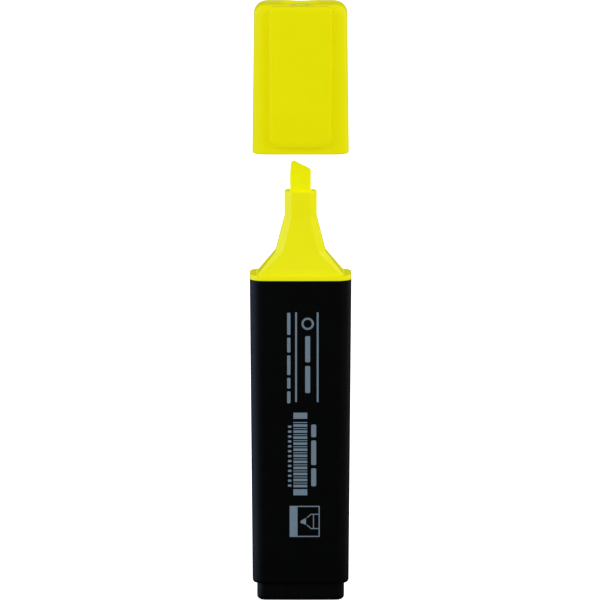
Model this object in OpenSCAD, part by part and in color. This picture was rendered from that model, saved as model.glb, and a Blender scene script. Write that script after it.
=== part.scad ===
// Flat highlighter pen. It stands on its end plug, nib up, with the cap in line above the nib.

/* [Barrel] */
// Width of the barrel at its mouth
barrel_top_w = 24.5; // [23.5:0.1:26]
// Depth of the barrel at its mouth
barrel_top_d = 13; // [12.6:0.1:14.5]
// Width of the barrel at its back end
barrel_base_w = 23.2; // [22.4:0.1:24.4]
// Depth of the barrel at its back end
barrel_base_d = 12.2; // [11.8:0.1:12.6]
// Length of the barrel
barrel_len = 74.1; // [70:0.1:90]
// Wall of the barrel
barrel_wall = 1.1; // [0.9:0.05:1.3]
// Radius of the long edges
corner_r = 3.2; // [2.6:0.1:3.8]
// How far the broad faces bulge at the middle
face_crown = 0.25; // [0:0.05:0.4]

/* [End plug] */
// How far the plug stands out of the barrel
plug_h = 4.2; // [3:0.1:6]
// Depth of the plug's spigot in the barrel
plug_spigot = 6.3; // [4:0.1:7]

/* [Front section] */
// Height of the collar
collar_h = 1.2; // [1:0.1:2]
// Width of the neck where it leaves the collar
neck_base_w = 20.9; // [20:0.1:21]
// Depth of the neck where it leaves the collar
neck_base_d = 9.5; // [9:0.1:9.6]
// Height of the lower, steeply flared part of the neck
flare_h = 5.4; // [4:0.1:7]
// Width of the neck at the top of the flare
flare_top_w = 12; // [11:0.1:13]
// Depth of the neck at the top of the flare
flare_top_d = 8; // [7.6:0.1:8.4]
// Height of the upper, slim part of the neck
neck_h = 8.4; // [7:0.1:10]
// Width of the nose tube
nose_w = 7.8; // [7.4:0.1:7.9]
// Depth of the nose tube
nose_d = 6.2; // [5.8:0.1:6.3]
// Height of the nose tube
nose_h = 6.2; // [5:0.1:7]
// Depth of the spigot in the barrel
front_spigot = 10; // [8:0.1:12]

/* [Nib] */
// Width of the writing edge
nib_w = 5; // [4.6:0.1:5]
// Thickness of the nib
nib_d = 3.6; // [3.2:0.1:3.6]
// Height of the nib's tip above the nose
nib_h = 7; // [6:0.1:8]
// Height by which the writing edge slants
nib_slant = 2; // [1:0.1:3]

/* [Ink reservoir] */
// Width of the fibre core
core_w = 16.5; // [14:0.1:16.5]
// Depth of the fibre core
core_d = 7.6; // [6.8:0.1:7.6]
// Thickness of the film wrap
film_t = 0.2; // [0.15:0.05:0.25]

/* [Cap] */
// Length of the cap
cap_len = 36.2; // [35.5:0.1:38]
// Width of the cap at its rim
cap_rim_w = 23.25; // [23.2:0.05:23.5]
// Depth of the cap at its rim
cap_rim_d = 11.9; // [11.9:0.05:12.1]
// Width of the cap at its top
cap_top_w = 22.4; // [22.2:0.05:22.8]
// Depth of the cap at its top
cap_top_d = 11.3; // [11.2:0.05:11.5]
// Wall of the cap
cap_wall = 1.05; // [1:0.05:1.1]
// Gap between the nib's tip and the cap's rim while the cap is off
cap_gap = 2.4; // [1:0.1:20]
// Diameter of the round dish in the cap's top
dish_dia = 10.4; // [9:0.1:11]
// Depth of the dish
dish_depth = 1.15; // [1:0.05:1.4]

/* [Inner cap] */
// Width of the bore that takes the nose tube
inner_bore_w = 8.1; // [8.1:0.05:8.2]
// Depth of the bore that takes the nose tube
inner_bore_d = 6.5; // [6.5:0.05:6.6]
// Wall of the inner cap
inner_wall = 0.9; // [0.8:0.05:0.95]
// Height of the bore's mouth above the cap's rim
inner_mouth_z = 15; // [14.5:0.1:16]
// Diameter of the head that shows in the dish
head_dia = 6.3; // [5.6:0.1:6.6]
// Diameter of the recess in the head
head_core_dia = 2.7; // [2:0.1:3]

/* [Clip] */
// Width of the clip at its root
clip_top_w = 15; // [13:0.1:15.5]
// Width of the clip at its free end
clip_end_w = 14.7; // [12.6:0.1:15]
// Height of the clip's free end above the cap's rim
clip_end_z = 1.75; // [1:0.05:4]
// Thickness of the clip
clip_t = 1.3; // [1.1:0.05:1.5]
// Free gap between the clip and the cap at the rim
clip_gap = 0.7; // [0.5:0.05:1]
// Radius of the free end's corners
clip_corner_r = 2.6; // [2:0.1:3.5]
// Depth of the sloping valley round the clip
valley_depth = 0.45; // [0.2:0.05:0.5]
// Width of the valley's slope
valley_w = 1.75; // [1:0.05:1.75]

/* [Hidden] */
$fn = 48;

// Steps along each corner arc, along each broad side and along an edge rounding
arc_steps = 7;
side_steps = 4;
edge_steps = 4;
// Clearance between two pieces that fit together
fit_gap = 0.05;
// Length by which cutters pass the faces that they cut
over = 1;

// Height and inset of the lead-in at the end of a spigot
lead_in_h = 0.5;
lead_in = 0.3;

// Heights along the pen
barrel_z = plug_h;
mouth_z = barrel_z + barrel_len;
neck_z = mouth_z + collar_h;
flare_z = neck_z + flare_h;
nose_z = flare_z + neck_h;
nose_top_z = nose_z + nose_h;
nib_top_z = nose_top_z + nib_h;
rim_z = nib_top_z + cap_gap;

// Barrel's bore
bore_base_w = barrel_base_w - 2 * barrel_wall;
bore_base_d = barrel_base_d - 2 * barrel_wall;
bore_top_w = barrel_top_w - 2 * barrel_wall;
bore_top_d = barrel_top_d - 2 * barrel_wall;
bore_r = corner_r - barrel_wall;
barrel_edge_r = 0.8;

// Ribs that hold the reservoir: thickness, places across the broad faces, and reach into the wall
rib_t = 0.8;
rib_xs = [-5.5, 0, 5.5];
rib_root = 0.6;
rib_end_gap = 1.5;

// End plug
plug_edge_r = 1.1;
plug_wall = 1.1;
plug_floor = 1.5;
plug_rib_x = 4.5;

// Front section
spigot_wall = 1;
collar_edge_r = 0.4;
nose_edge_r = 0.4;
neck_base_r = 0.8;
neck_corner_r = 1.7;
neck_crown = 0.1;
neck_wall = 1.2;
neck_bore_r = 1.1;

// Nib
nib_edge_r = 0.8;
nib_tip_r = 1.1;
nib_tip_arc = 105;
nib_seat = 12;
nib_seat_gap = 0.3;
stem_w = 3.6;
stem_d = 2.4;
stem_depth = 6;

// Ink reservoir
core_z = barrel_z + plug_spigot + 0.1;
core_top_z = mouth_z - 4.3;
film_w = core_w + 2 * (fit_gap + film_t);
film_d = core_d + 2 * (fit_gap + film_t);

// Cap, measured up from its rim
cap_rim_r = 0.5;
cap_edge_x = 2.7;
cap_edge_y = 1.3;
cap_corner_r = 3.2;
cap_top_corner_r = 1.1;
cap_crown = 0.15;
dish_r = (pow(dish_dia / 2, 2) + pow(dish_depth, 2)) / (2 * dish_depth);
ceiling_z = cap_len - 2.8;
ceiling_fillet = 0.8;
cap_bore_r = 1.2;
rim_lead = 0.15;
guide_rib_t = 0.8;
guide_rib_x = 6.5;
guide_rib_root = 0.6;
guide_rib_gap = 0.1;
guide_rib_low = inner_mouth_z + 4;

// Inner cap
inner_w = inner_bore_w + 2 * inner_wall;
inner_d = inner_bore_d + 2 * inner_wall;
inner_r = 2.2;
head_rise = 0.55;
head_z = cap_len - dish_depth + head_rise;
head_core_depth = 0.7;
inner_ceiling_z = ceiling_z - 1.2;
inner_top_h = 0.9;
inner_top_inset = 0.8;
inner_lead_h = 0.8;
inner_lead = 0.35;
inner_edge = 0.15;

// Clip
root_h = 4;
root_embed = 0.5;
clip_edge_r = 0.75;
clip_back_edge = 0.25;
clip_top_r = 1.2;
clip_top_drop = 0.12;
clip_face_y = cap_rim_d / 2 + clip_gap;
bead_r = 0.65;
bead_w = 8;
bead_h = 3;
bead_embed = 0.2;
valley_top_drop = 1.6;
valley_top_r = 0.9;
valley_over = 0.15;
valley_inset = 0.3;
face_lean = (cap_rim_d - cap_top_d) / (2 * cap_len);

function mix(a, b, t) = a + (b - a) * t;

// Four corner arcs, joined by side points, as a closed outline seen from above
function corner(x, y, r, start) =
    [for (i = [0:arc_steps]) let (a = start + 90 * i / arc_steps) [x + r * cos(a), y + r * sin(a)]];
function broad_side(x, y) = [for (i = [1:side_steps - 1]) [mix(x, -x, i / side_steps), y]];
function outline(w, d, r) =
    let (x = w / 2 - r, y = d / 2 - r)
    concat(
        corner(x, y, r, 0), broad_side(x, d / 2), corner(-x, y, r, 90),
        corner(-x, -y, r, 180), broad_side(-x, -d / 2), corner(x, -y, r, 270)
    );

// One ring of a skin: a rounded rectangle whose broad faces bulge by crown
function ring(w, d, r, z, crown = 0) =
    [for (p = outline(w, d, r)) [p.x, p.y - sign(p.y) * crown * pow(2 * p.x / w, 2), z]];

// A closed surface through rings of equally many points
// With looped, the last ring joins the first and the solid is a tube
module skin(rings, looped = false) {
    n = len(rings[0]);
    spans = looped ? len(rings) : len(rings) - 1;
    walls = [
        for (j = [0:spans - 1], i = [0:n - 1])
            let (low = j * n, high = (j + 1) % len(rings) * n, k = (i + 1) % n)
            each [[low + i, high + i, high + k], [low + i, high + k, low + k]]
    ];
    floor_face = [for (i = [0:n - 1]) i];
    top_face = [for (i = [n - 1:-1:0]) (len(rings) - 1) * n + i];
    polyhedron(
        points = [for (r = rings) each r],
        faces = looped ? walls : concat(walls, [floor_face, top_face])
    );
}

// A stadium: a bar with half-round ends
module stadium(w, d) {
    square([w - d, d], center = true);
    for (side = [-1, 1]) translate([side * (w - d) / 2, 0]) circle(d = d);
}

// A rectangle with round corners, made of plain squares and circles
module soft_rect(w, d, r) {
    square([w - 2 * r, d], center = true);
    square([w, d - 2 * r], center = true);
    for (x = [-1, 1], y = [-1, 1]) translate([x * (w / 2 - r), y * (d / 2 - r)]) circle(r);
}

module barrel() {
    edge = [
        for (i = [0:edge_steps])
            let (a = 90 * i / edge_steps, inset = barrel_edge_r * (1 - sin(a)))
            ring(
                barrel_base_w - 2 * inset, barrel_base_d - 2 * inset, corner_r - inset,
                barrel_z + barrel_edge_r * (1 - cos(a)), face_crown
            )
    ];
    top = ring(barrel_top_w, barrel_top_d, corner_r, mouth_z, face_crown);
    bore = [
        ring(bore_top_w, bore_top_d, bore_r, mouth_z, face_crown),
        ring(bore_base_w, bore_base_d, bore_r, barrel_z, face_crown)
    ];
    rib_low = core_z + rib_end_gap;
    rib_high = mouth_z - front_spigot - rib_end_gap;
    rib_reach_x = (bore_base_w - film_w) / 2 + rib_root - fit_gap;
    rib_reach_y = (bore_base_d - film_d) / 2 + rib_root - fit_gap;
    color("#16181c") {
        skin(concat(edge, [top], bore), looped = true);
        for (turn = [0, 180])
            rotate(turn)
                translate([0, 0, rib_low]) {
                    for (x = rib_xs)
                        translate([x - rib_t / 2, film_d / 2 + fit_gap])
                            cube([rib_t, rib_reach_y, rib_high - rib_low]);
                    translate([film_w / 2 + fit_gap, -rib_t / 2])
                        cube([rib_reach_x, rib_t, rib_high - rib_low]);
                }
    }
}

module end_plug() {
    spigot_w = bore_base_w - 2 * fit_gap;
    spigot_d = bore_base_d - 2 * fit_gap;
    spigot_r = bore_r - fit_gap;
    spigot_z = barrel_z + plug_spigot;
    edge = [
        for (i = [0:edge_steps])
            let (a = 90 * i / edge_steps, inset = plug_edge_r * (1 - sin(a)))
            ring(
                bore_base_w - 2 * inset, bore_base_d - 2 * inset, bore_r - inset * 0.8,
                plug_edge_r * (1 - cos(a)), face_crown
            )
    ];
    outside = [
        ring(bore_base_w, bore_base_d, bore_r, barrel_z - fit_gap, face_crown),
        ring(spigot_w, spigot_d, spigot_r, barrel_z - fit_gap, face_crown),
        ring(spigot_w, spigot_d, spigot_r, spigot_z - lead_in_h, face_crown),
        ring(spigot_w - 2 * lead_in, spigot_d - 2 * lead_in, spigot_r - lead_in, spigot_z, face_crown)
    ];
    hollow_w = spigot_w - 2 * plug_wall;
    hollow_d = spigot_d - 2 * plug_wall;
    hollow_r = spigot_r - plug_wall;
    inside = [for (z = [spigot_z, plug_floor]) ring(hollow_w, hollow_d, hollow_r, z, face_crown)];
    color("#101216") {
        skin(concat(edge, outside, inside));
        for (x = [-plug_rib_x, plug_rib_x])
            translate([x - rib_t / 2, -hollow_d / 2, plug_edge_r])
                cube([rib_t, hollow_d, spigot_z - plug_edge_r]);
    }
}

module front_section() {
    spigot_z = mouth_z - front_spigot;
    spigot_share = 1 - front_spigot / barrel_len;
    spigot_low_w = mix(bore_base_w, bore_top_w, spigot_share) - 2 * fit_gap;
    spigot_low_d = mix(bore_base_d, bore_top_d, spigot_share) - 2 * fit_gap;
    spigot_top_w = bore_top_w - 2 * fit_gap;
    spigot_top_d = bore_top_d - 2 * fit_gap;
    spigot_r = bore_r - fit_gap;
    collar = [
        for (i = [0:edge_steps])
            let (a = 90 * i / edge_steps, inset = collar_edge_r * (1 - cos(a)))
            ring(
                barrel_top_w - 2 * inset, barrel_top_d - 2 * inset, corner_r - inset,
                neck_z - collar_edge_r * (1 - sin(a)), face_crown
            )
    ];
    outside = concat(
        [
            ring(
                spigot_low_w - 2 * lead_in, spigot_low_d - 2 * lead_in, spigot_r - lead_in,
                spigot_z, face_crown
            ),
            ring(spigot_low_w, spigot_low_d, spigot_r, spigot_z + lead_in_h, face_crown),
            ring(spigot_top_w, spigot_top_d, spigot_r, mouth_z, face_crown),
            ring(barrel_top_w, barrel_top_d, corner_r, mouth_z, face_crown)
        ],
        collar,
        [
            ring(neck_base_w, neck_base_d, neck_base_r, neck_z, neck_crown),
            ring(flare_top_w, flare_top_d, neck_corner_r, flare_z),
            ring(nose_w, nose_d, neck_corner_r, nose_z),
            ring(nose_w, nose_d, neck_corner_r, nose_top_z - nose_edge_r),
            ring(nose_w - nose_edge_r, nose_d - nose_edge_r, neck_corner_r, nose_top_z - nose_edge_r / 4),
            ring(nose_w - 2 * nose_edge_r, nose_d - 2 * nose_edge_r, neck_corner_r, nose_top_z)
        ]
    );
    slot_w = nib_w + 2 * fit_gap;
    slot_d = nib_d + 2 * fit_gap;
    inside = [
        ring(slot_w, slot_d, nib_edge_r, nose_top_z),
        ring(slot_w, slot_d, nib_edge_r, nose_top_z - nib_seat),
        ring(flare_top_w - 2 * neck_wall, flare_top_d - 2 * neck_wall, neck_bore_r, flare_z - neck_wall / 2),
        ring(neck_base_w - 2 * neck_wall, neck_base_d - 2 * neck_wall, neck_bore_r, neck_z - neck_wall / 2),
        ring(
            spigot_top_w - 2 * spigot_wall, spigot_top_d - 2 * spigot_wall, neck_bore_r,
            mouth_z - spigot_wall
        ),
        ring(spigot_low_w - 2 * spigot_wall, spigot_low_d - 2 * spigot_wall, neck_bore_r, spigot_z)
    ];
    color("#e6e400") skin(concat(outside, inside), looped = true);
}

module nib() {
    seat_z = nose_top_z - nib_seat + nib_seat_gap;
    low_z = nib_top_z - nib_slant;
    tip = [
        for (i = [0:6])
            let (a = 180 - nib_tip_arc * (1 - i / 6))
            [-nib_w / 2 + nib_tip_r + nib_tip_r * cos(a), nib_top_z - nib_tip_r + nib_tip_r * sin(a)]
    ];
    profile = concat([[-nib_w / 2, seat_z], [nib_w / 2, seat_z], [nib_w / 2, low_z]], tip);
    color("#eef000") {
        intersection() {
            rotate([90, 0, 0]) linear_extrude(nib_d + over, center = true) polygon(profile);
            translate([0, 0, seat_z])
                linear_extrude(nib_top_z + over - seat_z) soft_rect(nib_w, nib_d, nib_edge_r);
        }
        translate([0, 0, core_top_z - stem_depth])
            linear_extrude(seat_z - core_top_z + stem_depth) soft_rect(stem_w, stem_d, nib_edge_r);
    }
}

module ink_reservoir() {
    pocket_z = core_top_z - stem_depth - fit_gap;
    color("#f4f27a")
        difference() {
            translate([0, 0, core_z]) linear_extrude(core_top_z - core_z) stadium(core_w, core_d);
            translate([0, 0, pocket_z])
                linear_extrude(core_top_z + over - pocket_z)
                    soft_rect(stem_w + 2 * fit_gap, stem_d + 2 * fit_gap, nib_edge_r);
        }
}

module reservoir_film() {
    color("#e9ecee")
        translate([0, 0, core_z])
            linear_extrude(core_top_z - core_z)
                difference() {
                    stadium(film_w, film_d);
                    stadium(core_w + 2 * fit_gap, core_d + 2 * fit_gap);
                }
}

// Cap's outside at a height above its rim, drawn in by inset
function cap_ring(z, inset_x, inset_y, r) =
    let (t = z / cap_len)
    ring(
        mix(cap_rim_w, cap_top_w, t) - 2 * inset_x, mix(cap_rim_d, cap_top_d, t) - 2 * inset_y,
        r, rim_z + z, cap_crown
    );

// The sloping valley round the clip, as a cutter that leans with the cap's front face
module valley() {
    face_y = cap_rim_d / 2;
    slope_w = valley_w * (1 + valley_over / valley_depth);
    translate([0, 0, rim_z])
        rotate([90, 0, 0])
            skin([
                clip_outline(valley_inset, face_y - valley_depth, valley_top_drop, valley_top_r, face_lean),
                clip_outline(
                    valley_inset - slope_w, face_y + valley_over, valley_top_drop, valley_top_r, face_lean
                )
            ]);
}

module cap_shell() {
    guide_rib_reach = (cap_top_d - inner_d) / 2 - guide_rib_root - guide_rib_gap;
    inside = [
        cap_ring(ceiling_z, cap_wall + ceiling_fillet, cap_wall + ceiling_fillet, cap_bore_r),
        cap_ring(ceiling_z - ceiling_fillet, cap_wall, cap_wall, cap_bore_r),
        cap_ring(cap_rim_r, cap_wall, cap_wall, cap_bore_r),
        cap_ring(0, cap_wall - rim_lead, cap_wall - rim_lead, cap_bore_r + rim_lead)
    ];
    rim = [
        for (i = [0:edge_steps])
            let (a = 90 * i / edge_steps, inset = cap_rim_r * (1 - sin(a)))
            cap_ring(cap_rim_r * (1 - cos(a)), inset, inset, cap_corner_r - inset)
    ];
    crown_edge = [
        for (i = [0:2 * edge_steps])
            let (a = 90 * i / (2 * edge_steps), inset = 1 - cos(a))
            cap_ring(
                cap_len - cap_edge_x * (1 - sin(a)), cap_edge_x * inset, cap_edge_y * inset,
                mix(cap_corner_r, cap_top_corner_r, inset)
            )
    ];
    color("#e6e400") {
        difference() {
            skin(concat(inside, rim, crown_edge));
            translate([0, 0, rim_z + cap_len - dish_depth + dish_r]) sphere(dish_r, $fn = 96);
            translate([0, 0, rim_z + ceiling_z - over])
                cylinder(d = head_dia + 2 * fit_gap, h = cap_len - ceiling_z + 2 * over);
            valley();
        }
        for (turn = [0, 180], x = [-guide_rib_x, guide_rib_x])
            rotate(turn)
                translate([x - guide_rib_t / 2, inner_d / 2 + guide_rib_gap, rim_z + guide_rib_low])
                    cube([guide_rib_t, guide_rib_reach, ceiling_z - guide_rib_low]);
    }
}

module inner_cap() {
    ease = 0.5;
    bore_corner_r = inner_r - inner_wall;
    inside = [
        ring(inner_bore_w - 2 * ease, inner_bore_d - 2 * ease, bore_corner_r, rim_z + inner_ceiling_z),
        ring(inner_bore_w, inner_bore_d, bore_corner_r, rim_z + inner_ceiling_z - 2 * ease),
        ring(inner_bore_w, inner_bore_d, bore_corner_r, rim_z + inner_mouth_z + inner_lead_h),
        ring(
            inner_bore_w + 2 * inner_lead, inner_bore_d + 2 * inner_lead, bore_corner_r + inner_lead,
            rim_z + inner_mouth_z
        )
    ];
    outside = [
        ring(inner_w - 2 * inner_edge, inner_d - 2 * inner_edge, inner_r, rim_z + inner_mouth_z),
        ring(inner_w, inner_d, inner_r, rim_z + inner_mouth_z + inner_lead),
        ring(inner_w, inner_d, inner_r, rim_z + ceiling_z - inner_top_h),
        ring(
            inner_w - 2 * inner_top_inset, inner_d - 2 * inner_top_inset, inner_r - inner_top_inset,
            rim_z + ceiling_z
        )
    ];
    head_low = ceiling_z - ease;
    color("#dfdd00")
        difference() {
            union() {
                skin(concat(inside, outside));
                translate([0, 0, rim_z + head_low]) cylinder(d = head_dia, h = head_z - head_low);
            }
            translate([0, 0, rim_z + head_z - head_core_depth])
                cylinder(d = head_core_dia, h = over + head_core_depth);
        }
}

// Outline of the clip's face, lying down: x across, y up the cap, drawn in by inset
function clip_outline(inset, z, top_drop = clip_top_drop, top_corner_r = clip_top_r, lean = 0) =
    let (
        top = cap_len - top_drop - inset,
        end = clip_end_z + inset,
        end_r = clip_corner_r - inset,
        top_r = top_corner_r - inset,
        half_top = clip_top_w / 2 - inset,
        half_end = clip_end_w / 2 - inset
    )
    [
        for (p = concat(
            corner(half_top - top_r, top - top_r, top_r, 0),
            corner(-half_top + top_r, top - top_r, top_r, 90),
            corner(-half_end + end_r, end + end_r, end_r, 180),
            corner(half_end - end_r, end + end_r, end_r, 270)
        ))
            [p.x, p.y, z - lean * p.y]
    ];

module cap_clip() {
    back_y = clip_face_y;
    back_edge = [clip_outline(clip_back_edge, back_y), clip_outline(0, back_y + clip_back_edge)];
    rounding = [
        for (i = [0:edge_steps])
            let (a = 90 * i / edge_steps)
            clip_outline(clip_edge_r * (1 - cos(a)), back_y + clip_t - clip_edge_r * (1 - sin(a)))
    ];
    root_top = cap_len - clip_top_drop;
    root_low = root_top - root_h;
    face_y = mix(cap_rim_d, cap_top_d, (cap_len - cap_edge_x) / cap_len) / 2 + fit_gap;
    root_back = [
        for (i = [0:8])
            let (z = mix(cap_len - cap_edge_x, root_top, i / 8))
            let (lift = (z - cap_len + cap_edge_x) / cap_edge_x)
            [-face_y + cap_edge_y * (1 - sqrt(1 - lift * lift)), z]
    ];
    seat_y = cap_rim_d / 2 - valley_depth - face_lean * root_low + fit_gap;
    seat_top = cap_len - valley_top_drop - valley_inset - 0.1;
    root = concat(
        [[-back_y - root_embed, root_top], [-back_y - root_embed, root_low - 1], [-back_y, root_low - 1]],
        [[-seat_y, root_low], [-seat_y, seat_top]],
        [for (p = root_back) if (p.y > seat_top + 0.1) p]
    );
    color("#e8e600")
        translate([0, 0, rim_z]) {
            rotate([90, 0, 0]) skin(concat(back_edge, rounding));
            rotate([90, 0, 90]) linear_extrude(clip_top_w - 2 * clip_edge_r, center = true) polygon(root);
            translate([0, -back_y - bead_embed, clip_end_z + bead_h])
                rotate([0, 90, 0]) cylinder(r = bead_r, h = bead_w, center = true);
        }
}

barrel();
end_plug();
front_section();
nib();
ink_reservoir();
reservoir_film();
cap_shell();
inner_cap();
cap_clip();
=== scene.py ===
"""Looks of a flat highlighter that stands uncapped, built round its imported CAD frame.

Shapes are worked out in millimetres and turned into metres when a mesh is made.
Most pieces are lofts: a list of rings, each ring a closed list of points.
Bump heights, lights and the floor are given in metres.
"""

import math

import bmesh
import bpy
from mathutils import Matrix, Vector, noise


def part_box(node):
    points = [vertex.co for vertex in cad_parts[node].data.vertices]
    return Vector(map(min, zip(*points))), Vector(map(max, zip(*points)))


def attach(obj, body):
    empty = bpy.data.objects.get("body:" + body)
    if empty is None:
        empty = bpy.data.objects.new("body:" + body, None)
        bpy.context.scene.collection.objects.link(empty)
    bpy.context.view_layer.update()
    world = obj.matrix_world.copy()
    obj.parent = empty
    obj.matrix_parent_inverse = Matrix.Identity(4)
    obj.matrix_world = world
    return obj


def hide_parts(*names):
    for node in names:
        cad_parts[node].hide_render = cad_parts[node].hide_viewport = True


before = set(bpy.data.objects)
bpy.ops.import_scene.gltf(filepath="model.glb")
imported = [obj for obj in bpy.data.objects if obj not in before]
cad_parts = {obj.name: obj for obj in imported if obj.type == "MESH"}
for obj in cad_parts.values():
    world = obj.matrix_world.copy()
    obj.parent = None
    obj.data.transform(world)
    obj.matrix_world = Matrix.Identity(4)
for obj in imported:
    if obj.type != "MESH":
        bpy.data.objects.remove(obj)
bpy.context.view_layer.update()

MM = 0.001


def box_mm(node):
    """Lowest and highest corner of a CAD node, in millimetres."""
    low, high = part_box(node)
    return low / MM, high / MM


# Places that the frame gives
barrel_low, barrel_high = box_mm("barrel")
_, plug_high = box_mm("end_plug")
front_low, front_high = box_mm("front_section")
nib_low, nib_high = box_mm("nib")
cap_low, cap_high = box_mm("cap_shell")
inner_low, inner_high = box_mm("inner_cap")
clip_low, clip_high = box_mm("cap_clip")

# Shared by several pieces
CORNER_R = 3.2
RIB_T = 0.8
FIT_GAP = 0.05

# Barrel
BASE_Z, MOUTH_Z = barrel_low.z, barrel_high.z
BARREL_W, BARREL_D = 2 * barrel_high.x, 2 * barrel_high.y
BARREL_TAPER_W, BARREL_TAPER_D = 1.3, 0.8
BARREL_WALL = 1.1
CROWN = 0.25
BARREL_EDGE_R = 0.8
PRINT_RISE, PRINT_SUNK = 0.02, 0.01

# Front section
COLLAR_H = 1.2
COLLAR_EDGE_R = 0.4
NECK_BASE, NECK_BASE_CUT = (20.9, 9.5), 0.6
FLARE_TOP, FLARE_TOP_CUT = (12.0, 8.0), 1.7
NOSE, NOSE_CUT = (7.8, 6.2), 1.72
NECK_CROWN = 0.1
NECK_Z = MOUTH_Z + COLLAR_H
FLARE_Z = NECK_Z + 5.4
NOSE_Z = FLARE_Z + 8.4
NOSE_TOP_Z = front_high.z

# Cap, whose heights are measured from its rim
RIM_Z = cap_low.z
CAP_LEN = cap_high.z - cap_low.z
CAP_RIM = (2 * cap_high.x, 2 * cap_high.y)
CAP_TOP = (22.4, 11.3)
CAP_WALL = 1.05
CAP_BORE_R = 1.2
CAP_CROWN = 0.15
CAP_EDGE_X, CAP_EDGE_Y = 2.7, 1.3
CEILING_Z = CAP_LEN - 2.8
DISH_R, DISH_DEPTH = 5.2, 1.15
HEAD_R, HEAD_CORE_R = 3.15, 1.35
HEAD_GAP = 0.04
VALLEY_DEPTH, VALLEY_INSET, VALLEY_TOP_DROP = 0.45, 0.3, 1.6
VALLEY_SIDE_W, VALLEY_END_W = 2.3, 1.75
VALLEY_END_R, VALLEY_TOP_R = 2.3, 0.7
CAP_SHAPE = {"steps": 12, "broad": 60, "narrow": 10}

# Clip
CLIP_W_TOP, CLIP_W_END = 15.0, 14.7
CLIP_END_Z = clip_low.z - RIM_Z
CLIP_TOP_Z = clip_high.z - RIM_Z
CLIP_FRONT_Y = -clip_low.y
CLIP_T = 1.3
CLIP_BACK_Y = CLIP_FRONT_Y - CLIP_T
BEAD_R = 0.65


# ---------------------------------------------------------------- meshes

def mix(a, b, t):
    return a + (b - a) * t


def clamp(value):
    """The value, kept between 0 and 1."""
    return max(0.0, min(1.0, value))


def soft_min(a, b, width):
    """The smaller of two values, with the crease between them rounded over a width."""
    h = max(width - abs(a - b), 0.0) / width
    return min(a, b) - h * h * width / 4


def outline(w, d, r, crown=0.0, steps=10, broad=12, narrow=4, chamfer=False):
    """A rounded rectangle, anticlockwise from above. Its broad sides bulge by crown at the middle.

    With chamfer, each corner is a straight cut of the same size as its arc.
    """
    x, y = w / 2 - r, d / 2 - r
    points = []
    for k, (cx, cy) in enumerate(((x, y), (-x, y), (-x, -y), (x, -y))):
        start = math.radians(90 * k)
        for i in range(steps + 1):
            t = i / steps
            if chamfer:
                ax, ay = math.cos(start), math.sin(start)
                bx, by = -ay, ax
                points.append((cx + r * mix(ax, bx, t), cy + r * mix(ay, by, t)))
            else:
                a = start + math.radians(90) * t
                points.append((cx + r * math.cos(a), cy + r * math.sin(a)))
        count = broad if k % 2 == 0 else narrow
        sx, sy = points[-1]
        ex, ey = ((-sx, sy) if k % 2 == 0 else (sx, -sy))
        points += [(mix(sx, ex, i / (count + 1)), mix(sy, ey, i / (count + 1))) for i in range(1, count + 1)]
    bulge = 2 * crown / d
    return [(px, py * (1 - bulge * (2 * px / w) ** 2)) for px, py in points]


def ring(w, d, r, z, **shape):
    """An outline laid at a height."""
    return [(x, y, z) for x, y in outline(w, d, r, **shape)]


def circle_like(points, radius, z):
    """A circle with one point for each point of a ring, spread as the ring's points are."""
    half_w = max(p[0] for p in points)
    half_d = max(p[1] for p in points)
    angles = [math.atan2(p[1] / half_d, p[0] / half_w) for p in points]
    return [(radius * math.cos(a), radius * math.sin(a), z) for a in angles]


def mixed(a, b, t):
    """A ring part of the way from ring a to ring b."""
    return [tuple(mix(p, q, t) for p, q in zip(pa, pb)) for pa, pb in zip(a, b)]


def make_object(name, verts, faces, sharp_deg=34.0):
    """A smooth-shaded mesh object from points in millimetres, with its sharper edges kept crisp."""
    mesh = bpy.data.meshes.new(name)
    mesh.from_pydata([tuple(c * MM for c in v) for v in verts], [], faces)
    bm = bmesh.new()
    bm.from_mesh(mesh)
    bmesh.ops.remove_doubles(bm, verts=bm.verts, dist=1e-7)
    bmesh.ops.recalc_face_normals(bm, faces=bm.faces)
    for face in bm.faces:
        face.smooth = True
    for edge in bm.edges:
        if len(edge.link_faces) == 2:
            edge.smooth = edge.calc_face_angle(0.0) < math.radians(sharp_deg)
    bm.to_mesh(mesh)
    bm.free()
    obj = bpy.data.objects.new(name, mesh)
    bpy.context.scene.collection.objects.link(obj)
    return obj


def loft_data(rings, looped=False):
    """Points and faces of a surface through rings. Ends are closed, or with looped joined to each other."""
    n = len(rings[0])
    verts = [p for r in rings for p in r]
    faces = []
    for j in range(len(rings) if looped else len(rings) - 1):
        low, high = j * n, (j + 1) % len(rings) * n
        faces += [(low + i, low + (i + 1) % n, high + (i + 1) % n, high + i) for i in range(n)]
    if not looped:
        last = (len(rings) - 1) * n
        faces += [tuple(reversed(range(n))), tuple(range(last, last + n))]
    return verts, faces


def loft(name, rings, looped=False, sharp_deg=34.0):
    verts, faces = loft_data(rings, looped)
    return make_object(name, verts, faces, sharp_deg)


def joined(name, parts, sharp_deg=34.0):
    """One object from several (verts, faces) pairs."""
    verts, faces = [], []
    for part_verts, part_faces in parts:
        start = len(verts)
        verts += part_verts
        faces += [tuple(start + i for i in face) for face in part_faces]
    return make_object(name, verts, faces, sharp_deg)


def block(low, high):
    """Points and faces of a plain rib or bar between two corners."""
    base = [(low[0], low[1]), (high[0], low[1]), (high[0], high[1]), (low[0], high[1])]
    return loft_data([[(x, y, z) for x, y in base] for z in (low[2], high[2])])


def bevel(obj, width, segments, angle_deg):
    """Rounds an object's crisp edges with a bevel modifier."""
    mod = obj.modifiers.new("edge_round", "BEVEL")
    mod.width = width * MM
    mod.segments = segments
    mod.limit_method = "ANGLE"
    mod.angle_limit = math.radians(angle_deg)
    mod.harden_normals = True
    mod.use_clamp_overlap = True


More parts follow.
